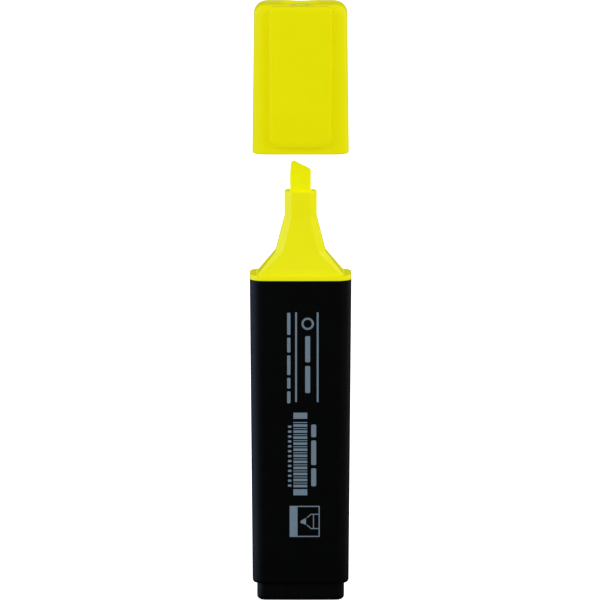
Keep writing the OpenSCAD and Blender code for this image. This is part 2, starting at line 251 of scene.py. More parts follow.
def quarter(steps):
    """Pairs (1 - cos, 1 - sin) along a quarter circle."""
    angles = [math.radians(90) * i / steps for i in range(steps + 1)]
    return [(1 - math.cos(a), 1 - math.sin(a)) for a in angles]


def place(obj, body, material, slot, *nodes):
    """Gives a finished piece its material, body and the CAD nodes that it stands for. slot is not used."""
    obj.data.materials.append(material)
    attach(obj, body)
    if nodes:
        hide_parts(*nodes)


# ---------------------------------------------------------------- materials

class Nodes:
    """Builds one node material round its Principled shader."""

    def __init__(self, name):
        self.material = bpy.data.materials.new(name)
        self.material.use_nodes = True
        self.tree = self.material.node_tree
        self.shader = self.tree.nodes["Principled BSDF"]
        self.place = self.tree.nodes.new("ShaderNodeTexCoord").outputs["Object"]

    def link(self, source, target):
        self.tree.links.new(source, target)

    def noise(self, scale, detail=4.0, stretch=(1, 1, 1), roughness=0.55):
        """Noise over the piece, scale in features per metre."""
        mapping = self.tree.nodes.new("ShaderNodeMapping")
        mapping.inputs["Scale"].default_value = stretch
        self.link(self.place, mapping.inputs["Vector"])
        node = self.tree.nodes.new("ShaderNodeTexNoise")
        node.inputs["Scale"].default_value = scale
        node.inputs["Detail"].default_value = detail
        node.inputs["Roughness"].default_value = roughness
        self.link(mapping.outputs["Vector"], node.inputs["Vector"])
        return node.outputs["Fac"]

    def range(self, value, low, high, from_low=0.3, from_high=0.7):
        """A value's range from_low to from_high, stretched to run from low to high."""
        node = self.tree.nodes.new("ShaderNodeMapRange")
        node.inputs["From Min"].default_value = from_low
        node.inputs["From Max"].default_value = from_high
        node.inputs["To Min"].default_value = low
        node.inputs["To Max"].default_value = high
        self.link(value, node.inputs["Value"])
        return node.outputs["Result"]

    def blend(self, factor, a, b):
        """Colour between a and b."""
        node = self.tree.nodes.new("ShaderNodeMix")
        node.data_type = "RGBA"
        for socket, value in ((node.inputs[6], a), (node.inputs[7], b)):
            if isinstance(value, tuple):
                socket.default_value = (*value, 1)
            else:
                self.link(value, socket)
        self.link(factor, node.inputs[0])
        return node.outputs[2]

    def bump(self, height, distance, under=None):
        """A bumped normal, its distance in metres, laid over the normal under it."""
        node = self.tree.nodes.new("ShaderNodeBump")
        node.inputs["Distance"].default_value = distance
        node.inputs["Strength"].default_value = 1.0
        self.link(height, node.inputs["Height"])
        if under is not None:
            self.link(under, node.inputs["Normal"])
        return node.outputs["Normal"]

    def set(self, **values):
        for name, value in values.items():
            self.shader.inputs[name.replace("_", " ")].default_value = value


def moulded(name, dark, light, rough, grain, wave, level, painted_glow=0.0):
    """Moulded plastic: faint clouding, fine mould grain, slow waviness and uneven gloss.

    rough is the lowest and highest roughness; grain and wave are bump heights in metres; level is the
    specular level; painted_glow is the strength of an emission in the light colour, which stands in partly
    for the plastic's fluorescence and partly is painted light that evens out its shading.
    """
    n = Nodes(name)
    cloud = n.noise(180, detail=3)
    n.link(n.blend(n.range(cloud, 0, 1), dark, light), n.shader.inputs["Base Color"])
    n.link(n.range(n.noise(900, detail=6), *rough), n.shader.inputs["Roughness"])
    slow = n.bump(n.noise(260, detail=1), wave)
    n.link(n.bump(n.noise(7000, detail=3), grain, under=slow), n.shader.inputs["Normal"])
    n.set(Specular_IOR_Level=level)
    # Emission in the light colour: painted light that lifts the plastic's shade and flattens its shading,
    # besides its fluorescence.
    if painted_glow:
        n.set(Emission_Color=(*light, 1), Emission_Strength=painted_glow)
    return n.material


def fibre(name, dark, light, stretch, painted_glow):
    """Bonded fibre: streaks along the pen, soaked unevenly with ink, with an emission that is painted light.
    """
    n = Nodes(name)
    streaks = n.noise(5200, detail=5, stretch=stretch, roughness=0.7)
    soak = n.noise(420, detail=3)
    base = n.blend(n.range(soak, 0, 1), dark, light)
    n.link(n.blend(n.range(streaks, 0.0, 0.35), base, light), n.shader.inputs["Base Color"])
    n.link(n.range(streaks, 0.55, 0.8), n.shader.inputs["Roughness"])
    n.link(n.bump(streaks, 0.00004), n.shader.inputs["Normal"])
    # The emission is painted light: on the nib it lifts the shade cast by the cap above it, besides the ink's
    # fluorescence.
    n.set(Specular_IOR_Level=0.1, Emission_Color=(*light, 1), Emission_Strength=painted_glow)
    return n.material


def ink_print():
    """Screen-printed ink: matt, a little thin and uneven."""
    n = Nodes("print_ink")
    thin = n.range(n.noise(3800, detail=4), 0, 1, 0.35, 0.75)
    n.link(n.blend(thin, (0.19, 0.265, 0.34), (0.15, 0.21, 0.27)), n.shader.inputs["Base Color"])
    n.link(n.range(n.noise(1500), 0.5, 0.7), n.shader.inputs["Roughness"])
    n.link(n.bump(n.noise(6000), 0.000006), n.shader.inputs["Normal"])
    n.set(Specular_IOR_Level=0.2)
    return n.material


def clear_film():
    """Thin clear wrap, wrinkled along its length."""
    n = Nodes("film_clear")
    haze = n.range(n.noise(300), 0, 1)
    n.link(n.blend(haze, (0.8, 0.84, 0.86), (0.9, 0.92, 0.93)), n.shader.inputs["Base Color"])
    n.link(n.bump(n.noise(700, stretch=(1, 1, 0.1)), 0.00008), n.shader.inputs["Normal"])
    n.set(Roughness=0.12, Alpha=0.35)
    return n.material


BARREL_BLACK = moulded("barrel_black", (0.0004, 0.0005, 0.0009), (0.0007, 0.0009, 0.0014),
                       (0.38, 0.47), 0.000008, 0.00002, level=0.22)
PLUG_BLACK = moulded("plug_black", (0.0008, 0.0009, 0.0012), (0.0012, 0.0013, 0.0016),
                     (0.36, 0.48), 0.000006, 0.00002, level=0.25)
# The yellows' emission is painted light that flattens their shading, partly standing in for fluorescence.
NECK_YELLOW = moulded("neck_yellow", (0.75, 0.725, 0.0), (0.77, 0.75, 0.0),
                      (0.2, 0.28), 0.000002, 0.000014, painted_glow=0.3, level=0.28)
CAP_YELLOW = moulded("cap_yellow", (0.715, 0.68, 0.0), (0.73, 0.7, 0.0),
                     (0.27, 0.36), 0.000004, 0.000016, painted_glow=0.31, level=0.07)
INNER_YELLOW = moulded("inner_yellow", (0.64, 0.66, 0.05), (0.68, 0.7, 0.07),
                       (0.3, 0.4), 0.000004, 0.00002, painted_glow=0.2, level=0.2)
# The nib's strong emission is painted light that lifts the shade that the cap casts on it.
NIB_FIBRE = fibre("nib_fibre", (0.66, 0.65, 0.0), (0.72, 0.72, 0.0), (1, 1, 0.16), 0.44)
CORE_FIBRE = fibre("core_fibre", (0.72, 0.71, 0.05), (0.84, 0.84, 0.1), (1, 1, 0.04), 0.05)
PRINT_INK = ink_print()
FILM = clear_film()


# ---------------------------------------------------------------- pen

def barrel_size(z):
    """Barrel's width and depth at a height."""
    t = (z - BASE_Z) / (MOUTH_Z - BASE_Z)
    return (
        mix(BARREL_W - BARREL_TAPER_W, BARREL_W, t),
        mix(BARREL_D - BARREL_TAPER_D, BARREL_D, t),
    )


def barrel_ring(z, inset):
    """Barrel's outline at a height, drawn in by inset."""
    w, d = barrel_size(z)
    return ring(w - 2 * inset, d - 2 * inset, CORNER_R - inset, z, crown=CROWN, broad=14)


def make_barrel():
    """Barrel: a tapered tube with a rounded bottom edge, and ribs inside that hold the reservoir."""
    lip = 0.12
    rings = [barrel_ring(BASE_Z, BARREL_WALL)]
    rings += [
        barrel_ring(BASE_Z + BARREL_EDGE_R * out, BARREL_EDGE_R * up)
        for out, up in quarter(6)
    ]
    rings += [barrel_ring(mix(BASE_Z + BARREL_EDGE_R, MOUTH_Z - lip, i / 8), 0) for i in range(1, 9)]
    rings += [barrel_ring(MOUTH_Z, lip), barrel_ring(MOUTH_Z, BARREL_WALL)]
    wall = loft_data(rings, looped=True)
    rib_low, rib_high = plug_high.z + 1.6, front_low.z - 1.5
    inner_w, inner_d = barrel_size(BASE_Z)
    rib_in_x, rib_in_y = 8.75, 4.25
    sunk_x, sunk_y = 0.4, 0.3
    rib_out_x, rib_out_y = inner_w / 2 - BARREL_WALL + sunk_x, inner_d / 2 - BARREL_WALL + sunk_y
    half_t = RIB_T / 2
    ribs = []
    for side in (-1, 1):
        for x in (-5.5, 0, 5.5):
            y = sorted((side * rib_in_y, side * rib_out_y))
            ribs.append(block((x - half_t, y[0], rib_low), (x + half_t, y[1], rib_high)))
        x = sorted((side * rib_in_x, side * rib_out_x))
        ribs.append(block((x[0], -half_t, rib_low), (x[1], half_t, rib_high)))
    place(joined("barrel_shell", [wall] + ribs), "pen", BARREL_BLACK, "barrel_black", "barrel")


def make_plug():
    """End plug: a cup whose hollow spigot sits in the barrel, with a gate's mark in its flat bottom."""
    w, d = 2 * plug_high.x, 2 * plug_high.y
    r = CORNER_R - BARREL_WALL
    edge, corner_extra, cup_floor = 1.1, 0.25, 1.5
    flat = ring(w - 2 * edge, d - 2 * edge, r - edge + corner_extra, 0, crown=CROWN)
    gate_r, gate_depth = 1.5, 0.25
    gate = circle_like(flat, gate_r, 0)
    rings = [circle_like(flat, gate_r * 0.45, gate_depth * 0.5), circle_like(flat, gate_r * 0.5, gate_depth)]
    rings += [circle_like(flat, gate_r - 0.1, gate_depth)]
    rings += [gate] + [mixed(gate, flat, i / 5) for i in range(1, 5)]
    rings += [
        ring(w - 2 * edge * up, d - 2 * edge * up, r - (edge - corner_extra) * up, edge * out, crown=CROWN)
        for out, up in quarter(7)
    ]
    shoulder = BASE_Z - FIT_GAP
    rings += [ring(w, d, r, shoulder, crown=CROWN)]
    rings += [
        ring(w - 2 * FIT_GAP, d - 2 * FIT_GAP, r - FIT_GAP, z, crown=CROWN)
        for z in (shoulder, plug_high.z - 0.4)
    ]
    rings += [ring(w - 0.7, d - 0.7, r - 0.35, plug_high.z, crown=CROWN)]
    rings += [ring(w - 2.3, d - 2.3, r - 1, z, crown=CROWN) for z in (plug_high.z, cup_floor)]
    place(loft("end_plug_cup", rings), "pen", PLUG_BLACK, "plug_black", "end_plug")


def softened(stations, reach):
    """Stations of a chamfered neck, (w, d, cut, z), with each inner kink eased over a reach of height."""
    out = [stations[0]]
    for before, here, after in zip(stations, stations[1:], stations[2:]):
        low = tuple(mix(h, b, reach / (here[3] - before[3])) for h, b in zip(here, before))
        high = tuple(mix(h, a, reach / (after[3] - here[3])) for h, a in zip(here, after))
        for i in range(5):
            t = i / 4
            out.append(tuple(mix(mix(p, q, t), mix(q, s, t), t) for p, q, s in zip(low, here, high)))
    return out + [stations[-1]]


def make_front_section():
    """Collar, flared and chamfered neck, nose tube and the spigot inside the barrel, as one moulding."""
    w, d = BARREL_W, BARREL_D
    spigot_w, spigot_d, spigot_r = w - 2 * BARREL_WALL - 0.1, d - 2 * BARREL_WALL - 0.1, 2.05
    rings = [
        ring(spigot_w - 2.2, spigot_d - 2.1, 1.2, front_low.z, crown=CROWN),
        ring(spigot_w - 0.8, spigot_d - 0.8, spigot_r - 0.3, front_low.z, crown=CROWN),
        ring(spigot_w - 0.2, spigot_d - 0.15, spigot_r, front_low.z + 0.5, crown=CROWN),
        ring(spigot_w, spigot_d, spigot_r, MOUTH_Z, crown=CROWN),
        ring(w - 0.16, d - 0.16, CORNER_R, MOUTH_Z, crown=CROWN),
        ring(w, d, CORNER_R, MOUTH_Z + 0.08, crown=CROWN),
    ]
    rings += [
        ring(
            w - 2 * COLLAR_EDGE_R * out, d - 2 * COLLAR_EDGE_R * out, CORNER_R - COLLAR_EDGE_R * out,
            NECK_Z - COLLAR_EDGE_R * up, crown=CROWN,
        )
        for out, up in quarter(7)
    ]
    groove, top_r, reach = 0.14, 0.45, 0.2
    rings += [ring(NECK_BASE[0] + 0.5, NECK_BASE[1] + 0.5, 1.1, NECK_Z, crown=NECK_CROWN)]
    rings += [ring(NECK_BASE[0] + 0.2, NECK_BASE[1] + 0.2, 0.9, NECK_Z - groove, crown=NECK_CROWN)]
    stations = [
        (*NECK_BASE, NECK_BASE_CUT, NECK_Z - groove),
        (*FLARE_TOP, FLARE_TOP_CUT, FLARE_Z),
        (*NOSE, NOSE_CUT, NOSE_Z),
        (*NOSE, NOSE_CUT, NOSE_TOP_Z - top_r),
    ]
    rings += [ring(sw, sd, cut, z, chamfer=True) for sw, sd, cut, z in softened(stations, reach)]
    rings += [
        ring(
            NOSE[0] - 2 * top_r * out, NOSE[1] - 2 * top_r * out, NOSE_CUT - 0.25 * out,
            NOSE_TOP_Z - top_r * up, chamfer=True,
        )
        for out, up in quarter(5)[1:]
    ]
    slot_w, slot_d = 2 * nib_high.x + 0.12, 2 * nib_high.y + 0.12
    rings += [
        ring(slot_w + 0.3, slot_d + 0.3, 0.95, NOSE_TOP_Z),
        ring(slot_w, slot_d, 0.8, NOSE_TOP_Z - 0.2),
        ring(slot_w, slot_d, 0.8, NOSE_TOP_Z - 12),
        ring(FLARE_TOP[0] - 2.4, FLARE_TOP[1] - 2.4, 1.1, FLARE_Z - 0.6),
        ring(NECK_BASE[0] - 2.4, NECK_BASE[1] - 2.4, 1.1, NECK_Z - 0.6),
        ring(spigot_w - 2.1, spigot_d - 2.1, 1.2, MOUTH_Z - 1, crown=CROWN),
    ]
    obj = loft("neck_moulding", rings, looped=True, sharp_deg=75)
    bevel(obj, width=0.26, segments=3, angle_deg=22)
    place(obj, "pen", NECK_YELLOW, "neck_yellow", "front_section")


def make_nib():
    """Chisel nib of bonded fibre, with a slanted, slightly worn writing edge."""
    half_w = nib_high.x
    tip_z = nib_high.z
    slant, tip_r = 2.0, 0.75
    seat_z = NOSE_TOP_Z - 11.7
    stem_z = nib_low.z
    corner_r, side_steps, top_steps = 0.8, 34, 8
    shape = {"steps": 8, "broad": 18, "narrow": 8}

    def top_z(x):
        """Height of the slanted writing face at x."""
        plane = tip_z - slant * (x + half_w - tip_r) / (2 * half_w - tip_r)
        from_edge = x + half_w
        if from_edge < tip_r:
            plane = tip_z - tip_r + math.sqrt(max(tip_r ** 2 - (tip_r - from_edge) ** 2, 0))
        return min(plane, tip_z)

    def level(w, d, r, t, drop=0.0):
        """A ring a share t of the way from the seat to drop below the writing face, leaning at the tip."""
        points = []
        for x, y in outline(w, d, r, **shape):
            z = mix(seat_z, top_z(x) - drop, t)
            bow = clamp((z - NOSE_TOP_Z) / (tip_z - NOSE_TOP_Z))
            lean = -0.1 * math.sin(math.pi * bow) + 0.22 * bow ** 3
            left = clamp(0.5 - x / (2 * half_w))
            points.append((x + lean * left, y, z))
        return points

    width, depth = 2 * half_w - 0.02, 2 * nib_high.y - 0.02
    rings = [ring(3.0, 1.8, 0.6, stem_z, **shape)]
    rings += [ring(3.6, 2.4, corner_r, z, **shape) for z in (stem_z + 0.4, seat_z)]
    rings += [level(width, depth, corner_r, i / side_steps) for i in range(side_steps)]
    edge = 0.28
    rings += [
        level(width - 2 * edge * out, depth - 2 * edge * out, corner_r - edge * out, 1, edge * up)
        for out, up in quarter(5)
    ]
    for i in range(1, top_steps):
        share = 1 - i / top_steps
        rings.append(level((width - 0.6) * share, (depth - 0.6) * share, 0.5 * share, 1))
    obj = loft("nib_chisel", rings, sharp_deg=60)
    for v in obj.data.vertices:
        if v.co.z > (NOSE_TOP_Z - 0.5) * MM:
            place_mm = v.co / MM
            fuzz = noise.noise(Vector((place_mm.x * 5, place_mm.y * 5, place_mm.z * 0.8)))
            v.co += v.normal * (0.02 * fuzz - 0.01) * MM
    place(obj, "pen", NIB_FIBRE, "nib_fibre", "nib")


# ---------------------------------------------------------------- cap

def cap_size(z):
    """Cap's outer width and depth at a height above its rim."""
    t = z / CAP_LEN
    return mix(CAP_RIM[0], CAP_TOP[0], t), mix(CAP_RIM[1], CAP_TOP[1], t)


def cap_ring(z, inset_x=0.0, inset_y=0.0, r=CORNER_R):
    """Cap's outline at a height above its rim, drawn in by the insets."""
    w, d = cap_size(z)
    return ring(w - 2 * inset_x, d - 2 * inset_y, r, z, crown=CAP_CROWN, **CAP_SHAPE)


def valley_at(x, z):
    """Depth of the sloping valley that surrounds the clip, wider beside the clip than below it."""
    low, high = CLIP_END_Z + VALLEY_INSET, CAP_LEN - VALLEY_TOP_DROP - VALLEY_INSET
    r = VALLEY_END_R if z < (low + high) / 2 else VALLEY_TOP_R
    qx = max(abs(x) - CLIP_W_END / 2 + VALLEY_INSET + r, 0)
    qz = max(abs(z - (low + high) / 2) - (high - low) / 2 + r, 0)
    reach = math.hypot(qx, qz)
    width = mix(VALLEY_END_W, VALLEY_SIDE_W, (qx / reach) ** 2) if reach else VALLEY_END_W
    return VALLEY_DEPTH * clamp(1 - (reach - r) / width)


def carved(points):
    """Points of the cap's outside, with the valley and the round dish cut in."""
    valley_soft, dish_soft = 0.06, 0.16
    sphere_r = (DISH_R ** 2 + DISH_DEPTH ** 2) / (2 * DISH_DEPTH)
    out = []
    for x, y, z in points:
        depth = valley_at(x, z)
        if y < 0 and depth > 0:
            w, d = cap_size(z)
            face = -d / 2 + CAP_CROWN * (2 * x / w) ** 2
            y = -soft_min(-y, -(face + depth), valley_soft)
        dish = CAP_LEN - DISH_DEPTH + sphere_r - math.sqrt(max(sphere_r ** 2 - x * x - y * y, 0))
        if z > CAP_LEN - CAP_EDGE_X:
            z = soft_min(z, dish, dish_soft)
        out.append((x, y, z))
    return out


def lifted(points):
    """Points measured from the cap's rim, moved to where the cap rests."""
    return [(x, y, z + RIM_Z) for x, y, z in points]


def make_cap_shell():
    """Outer cap: its bore, the carved outside with the hole for the inner cap's head, and guide ribs."""
    rim_r, rim_lead, fillet, hole_lip = 0.5, 0.15, 0.8, 0.12
    side_steps, top_steps = 64, 34
    hole_r = HEAD_R + HEAD_GAP
    inside = [
        cap_ring(CEILING_Z - fillet * up, CAP_WALL + fillet * out, CAP_WALL + fillet * out, CAP_BORE_R)
        for up, out in quarter(5)
    ]
    inside += [cap_ring(z, CAP_WALL, CAP_WALL, CAP_BORE_R) for z in (25, 18, 10, 4, rim_r)]
    inside += [cap_ring(0, CAP_WALL - rim_lead, CAP_WALL - rim_lead, CAP_BORE_R + rim_lead)]
    outside = [cap_ring(rim_r * out, rim_r * up, rim_r * up, CORNER_R - rim_r * up) for out, up in quarter(6)]
    side_top = CAP_LEN - CAP_EDGE_X
    outside += [cap_ring(mix(rim_r, side_top, i / side_steps)) for i in range(1, side_steps + 1)]
    outside += [
        cap_ring(CAP_LEN - CAP_EDGE_X * up, CAP_EDGE_X * out, CAP_EDGE_Y * out, CORNER_R - 2.1 * out)
        for out, up in quarter(20)[1:]
    ]
    flat = outside[-1]
    hole = circle_like(flat, hole_r, CAP_LEN)
    outside += [mixed(flat, hole, i / top_steps) for i in range(1, top_steps + 1)]
    outside = [carved(points) for points in outside]
    bore = [[(x, y, z - hole_lip) for x, y, z in outside[-1]], circle_like(flat, hole_r, CEILING_Z)]
    shell = loft_data([lifted(points) for points in inside + outside + bore], looped=True)
    rib_low, rib_high = RIM_Z + 19, RIM_Z + CEILING_Z
    half_t, rib_gap, rib_end_y = RIB_T / 2, 0.1, CAP_TOP[1] / 2 - 0.6
    ribs = []
    for x in (-6.5, 6.5):
        ribs.append(block((x - half_t, inner_high.y + rib_gap, rib_low), (x + half_t, rib_end_y, rib_high)))
        ribs.append(block((x - half_t, -rib_end_y, rib_low), (x + half_t, inner_low.y - rib_gap, rib_high)))
    obj = joined("cap_outer_shell", [shell] + ribs, sharp_deg=40)
    place(obj, "cap", CAP_YELLOW, "cap_yellow", "cap_shell")


def make_inner_cap():
    """Sealing sleeve round the nose. Its round head, with a gate's recess, fills the hole in the dish."""
    w, d = 2 * inner_high.x, 2 * inner_high.y
    wall, r = 0.9, 2.2
    mouth, head = inner_low.z, inner_high.z
    ceiling = RIM_Z + CEILING_Z - 1.2
    shape = {"steps": 10, "broad": 10, "narrow": 8}
    base = ring(w - 1.6, d - 1.6, r - 0.6, RIM_Z + CEILING_Z, **shape)
    inside = [
        ring(w - 2 * wall - 1.2, d - 2 * wall - 1.2, r - wall, ceiling, **shape),
        ring(w - 2 * wall - 0.3, d - 2 * wall - 0.3, r - wall, ceiling - 0.35, **shape),
        ring(w - 2 * wall, d - 2 * wall, r - wall, ceiling - 1, **shape),
        ring(w - 2 * wall, d - 2 * wall, r - wall, mouth + 0.8, **shape),
        ring(w - 2 * wall + 0.7, d - 2 * wall + 0.7, r - wall / 2, mouth, **shape),
    ]
    outside = [
        ring(w - 0.3, d - 0.3, r, mouth, **shape),
        ring(w, d, r, mouth + 0.25, **shape),
        ring(w, d, r, RIM_Z + CEILING_Z - 0.9, **shape),
        ring(w - 0.4, d - 0.4, r - 0.1, RIM_Z + CEILING_Z - 0.4, **shape),
        base,
        circle_like(base, HEAD_R, RIM_Z + CEILING_Z),
    ]
    edge, depth = 0.12, 0.7
    top = [circle_like(base, HEAD_R - edge * out, head - edge * up) for out, up in quarter(4)]
    top += [circle_like(base, rad, head) for rad in (2.6, 2.1, 1.7)]
    top += [circle_like(base, HEAD_CORE_R + edge * up, head - edge * out) for out, up in quarter(4)]
    top += [
        circle_like(base, rad, head - depth + lift)
        for rad, lift in ((1.3, 0), (0.9, 0.02), (0.45, 0.06), (0.35, 0.3), (0.15, 0.34))
    ]
    obj = loft("inner_cap_sleeve", inside + outside + top, sharp_deg=40)
    place(obj, "cap", INNER_YELLOW, "inner_yellow", "inner_cap")


def clip_outline(inset, top_inset, y):
    """Outline of the clip's panel at a distance in front of the axis, drawn in by inset and at its top
    by top_inset. The panel's front is crowned across its width.
    """
    top, end = CLIP_TOP_Z - top_inset, CLIP_END_Z + inset
    top_r, end_r = max(1.2 - inset, 0.08), max(2.6 - inset, 0.3)
    top_w, end_w = CLIP_W_TOP / 2 - inset, CLIP_W_END / 2 - inset
    corners = (
        (top_w - top_r, top - top_r, top_r, 0), (top_r - top_w, top - top_r, top_r, 90),
        (end_r - end_w, end + end_r, end_r, 180), (end_w - end_r, end + end_r, end_r, 270),
    )
    steps, side = 12, 10
    points = []
    for cx, cz, r, start in corners:
        for i in range(steps + 1):
            a = math.radians(start + 90 * i / steps)
            points.append((cx + r * math.cos(a), cz + r * math.sin(a)))
    full = []
    for k in range(4):
        arc = points[k * (steps + 1):(k + 1) * (steps + 1)]
        nxt = points[((k + 1) % 4) * (steps + 1)]
        full += arc
        full += [tuple(mix(p, q, i / (side + 1)) for p, q in zip(arc[-1], nxt)) for i in range(1, side + 1)]
    crown = 0.12 * clamp((y - CLIP_BACK_Y) / CLIP_T)
    return [(x, -y + crown * (2 * x / CLIP_W_TOP) ** 2, z + RIM_Z) for x, z in full]


def clip_root():
    """Bridge from the panel's back to the cap: flush with the cap's top, and seated in the valley."""
    face_y = mix(CAP_RIM[1], CAP_TOP[1], 1 - CAP_EDGE_X / CAP_LEN) / 2 + 0.05
    seat_y = CAP_RIM[1] / 2 - VALLEY_DEPTH - 0.27 + 0.05
    low, seat_top = CLIP_TOP_Z - 4, CAP_LEN - 2.0
    corner = 1.2
    half = CLIP_W_TOP / 2 - 0.06
    rings = []
    xs = [-half + corner * (1 - math.cos(math.radians(9 * i))) for i in range(1, 11)]
    xs = xs + [-x for x in reversed(xs)]
    for x in xs:
        into = max(abs(x) - (half - corner), 0)
        top = CLIP_TOP_Z - 0.01 - (corner - math.sqrt(corner ** 2 - into ** 2))
        back = []
        for i in range(9):
            z = mix(seat_top + 0.12, CLIP_TOP_Z - 0.01, i / 8)
            lift = clamp((z - CAP_LEN + CAP_EDGE_X) / CAP_EDGE_X)
            back.append((-face_y + CAP_EDGE_Y * (1 - math.sqrt(1 - lift * lift)), min(z, top)))
        profile = [(-CLIP_BACK_Y - 0.55, top), (-CLIP_BACK_Y - 0.55, low - 1.2), (-CLIP_BACK_Y, low - 1)]
        profile += [(-CLIP_BACK_Y + 0.25, low - 0.6), (-seat_y - 0.15, low), (-seat_y, low + 0.1)]
        profile += [(-seat_y, seat_top)] + back
        rings.append([(x, y, z + RIM_Z) for y, z in profile])
    return loft_data(rings)


def make_clip():
    """Pocket clip: a pillowed panel with a grip bead behind its free end, bridged to the cap at its top."""
    pillow = (
        (0.3, 0.3, 0), (0.1, 0.1, 0.08), (0, 0, 0.25), (0, 0, 0.5), (0.03, 0.14, 0.64), (0.12, 0.3, 0.8),
        (0.26, 0.43, 0.93), (0.46, 0.54, 1.04), (0.74, 0.64, 1.14), (1.05, 0.74, 1.21), (1.4, 1.0, 1.255),
        (1.8, 1.5, 1.28), (2.2, 2.0, 1.293), (2.6, 2.6, 1.3),
    )
    panel = loft_data([clip_outline(inset, top, CLIP_BACK_Y + rise) for inset, top, rise in pillow])
    bead, bead_z, bead_depth = [], RIM_Z + CLIP_END_Z + 3, 0.45
    for i in range(-8, 9):
        x = 4.2 * math.sin(math.radians(90) * i / 8)
        r = BEAD_R * math.sqrt(max(1 - (x / 4.25) ** 6, 0.02))
        bead.append([
            (x, bead_depth * math.sin(a) * r / BEAD_R - CLIP_BACK_Y - 0.02, bead_z + r * math.cos(a))
            for a in (math.radians(24) * k for k in range(15))
        ])
    obj = joined("clip_panel", [panel, clip_root(), loft_data(bead)], sharp_deg=40)
    place(obj, "clip", CAP_YELLOW, "cap_yellow", "cap_clip")


# ---------------------------------------------------------------- print on the barrel

def front_face(x, z):
    """Where the barrel's front face lies, in front of the axis."""
    w, d = barrel_size(z)
    return -d / 2 + CROWN * (2 * x / w) ** 2


def printed(outline_points):
    """Points and faces of a thin raised patch on the barrel's front, from its corners (x, z)."""
    n = len(outline_points)
    verts = [(x, front_face(x, z) + PRINT_SUNK, z) for x, z in outline_points]
    verts += [(x, front_face(x, z) - PRINT_RISE, z) for x, z in outline_points]
    faces = [(i, (i + 1) % n, n + (i + 1) % n, n + i) for i in range(n)]
    faces += [tuple(reversed(range(n))), tuple(range(n, 2 * n))]
    return verts, faces


def bar(x0, x1, z0, z1, r=0.0):
    """A printed bar between two corners, with round corners if r is given."""
    if not r:
        return printed([(x0, z0), (x1, z0), (x1, z1), (x0, z1)])
    points = []
    for k, (cx, cz) in enumerate(((x1 - r, z1 - r), (x0 + r, z1 - r), (x0 + r, z0 + r), (x1 - r, z0 + r))):
        for i in range(6):
            a = math.radians(90 * k + 18 * i)
            points.append((cx + r * math.cos(a), cz + r * math.sin(a)))
    return printed(points)


def stroke(points, width):
    """A printed line of even width through points (x, z)."""
    parts = []
    for (ax, az), (bx, bz) in zip(points, points[1:]):
        length = math.hypot(bx - ax, bz - az)
        ox, oz = (bz - az) / length * width / 2, (ax - bx) / length * width / 2
        corners = [(ax - ox, az - oz), (bx - ox, bz - oz), (bx + ox, bz + oz), (ax + ox, az + oz)]
        parts.append(printed(corners))
    return parts


def words(x, size, z_top, lengths, gap, r):
    """Plain rounded bars, one below another, that stand where a line of words would."""
    parts, z = [], z_top
    for length in lengths:
        parts.append(bar(x - size / 2, x + size / 2, z - length, z, r))
        z -= length + gap
    return parts


def make_print():
    """Generic marks only: two rules, plain bars for words, even stripes and a nib pictogram."""
    half_rule, thin = 0.22, 0.22
    rules = [bar(x - half_rule, x + half_rule, 48.8, 70.7, 0.08) for x in (-1.1, 4.1)]
    heading_x, ring_z, ring_r = 1.7, 67.9, 1.25
    turns = [math.radians(10 * k) for k in range(37)]
    circle = [(heading_x + ring_r * math.cos(a), ring_z + ring_r * math.sin(a)) for a in turns]
    heading = stroke(circle, 0.5) + words(heading_x, 1.2, 64.9, (6.4, 6.6), 0.9, 0.3)
    small = words(-2.85, 0.8, 70.6, (5.4, 3.6, 4.8, 2.6, 2.9), 0.7, 0.22)
    stripe_x0, stripe_x1, pitch = -1.75, 1.6, 1.48
    stripes = [bar(stripe_x0, stripe_x1, 26.0, 27.5), bar(stripe_x0, stripe_x1, 44.7, 46.2)]
    for i in range(11):
        z = 27.95 + pitch * i
        stripes += [bar(stripe_x0, stripe_x1, z, z + 0.62), bar(stripe_x0, stripe_x1, z + 0.92, z + 1.16)]
    ticks = [bar(-3.05, -2.2, 28.1 + 1.2 * i, 28.65 + 1.2 * i, 0.2) for i in range(13)]
    line = words(3.15, 1.2, 43.3, (3.1, 6.0, 4.4), 0.8, 0.3)
    x0, x1, z0, z1 = -2.65, 4.6, 15.8, 23.4
    band, edge = 1.9, 0.26
    frame_box = [
        bar(x0, x0 + band, z0, z1), bar(x0 + band, x1, z0, z0 + edge),
        bar(x0 + band, x1, z1 - edge, z1), bar(x1 - edge, x1, z0 + edge, z1 - edge),
    ]
    mid_z = (z0 + z1) / 2
    nib_icon = [printed([(0.0, mid_z - 0.35), (1.3, mid_z - 0.85), (1.3, mid_z + 0.85), (0.0, mid_z + 0.15)])]
    for side in (1, -1):
        sleeve = [(1.5, mid_z + 0.85 * side), (2.5, mid_z + 1.75 * side), (4.34, mid_z + 1.75 * side)]
        nib_icon += stroke(sleeve, thin)
    nib_icon += stroke([(3.1, mid_z - 1.64), (3.1, mid_z + 1.64)], thin)
    for name, parts in (
        ("print_rules", rules), ("print_heading", heading), ("print_small_line", small),
        ("print_stripes", stripes), ("print_ticks", ticks), ("print_line", line),
        ("print_pictogram", frame_box + nib_icon),
    ):
        place(joined(name, parts, sharp_deg=20), "pen", PRINT_INK, "barrel_black")


# ---------------------------------------------------------------- stage

def make_camera():
    """A long lens nine degrees above level, square to the pen's front, that frames view_w millimetres."""
    elevation, lens, sensor, view_w = math.radians(9), 1000, 36, 144.62
    distance = view_w * lens / sensor
    target = Vector((-0.15, 0, 72.68))
    back = Vector((0, -math.cos(elevation), math.sin(elevation)))
    camera = bpy.data.objects.new("camera", bpy.data.cameras.new("camera"))
    bpy.context.scene.collection.objects.link(camera)
    camera.data.lens = lens
    camera.data.sensor_width = sensor
    camera.data.clip_start, camera.data.clip_end = 0.01, 60
    camera.location = (target + back * distance) * MM
    camera.rotation_euler = (-back).to_track_quat("-Z", "Y").to_euler()
    bpy.context.scene.camera = camera


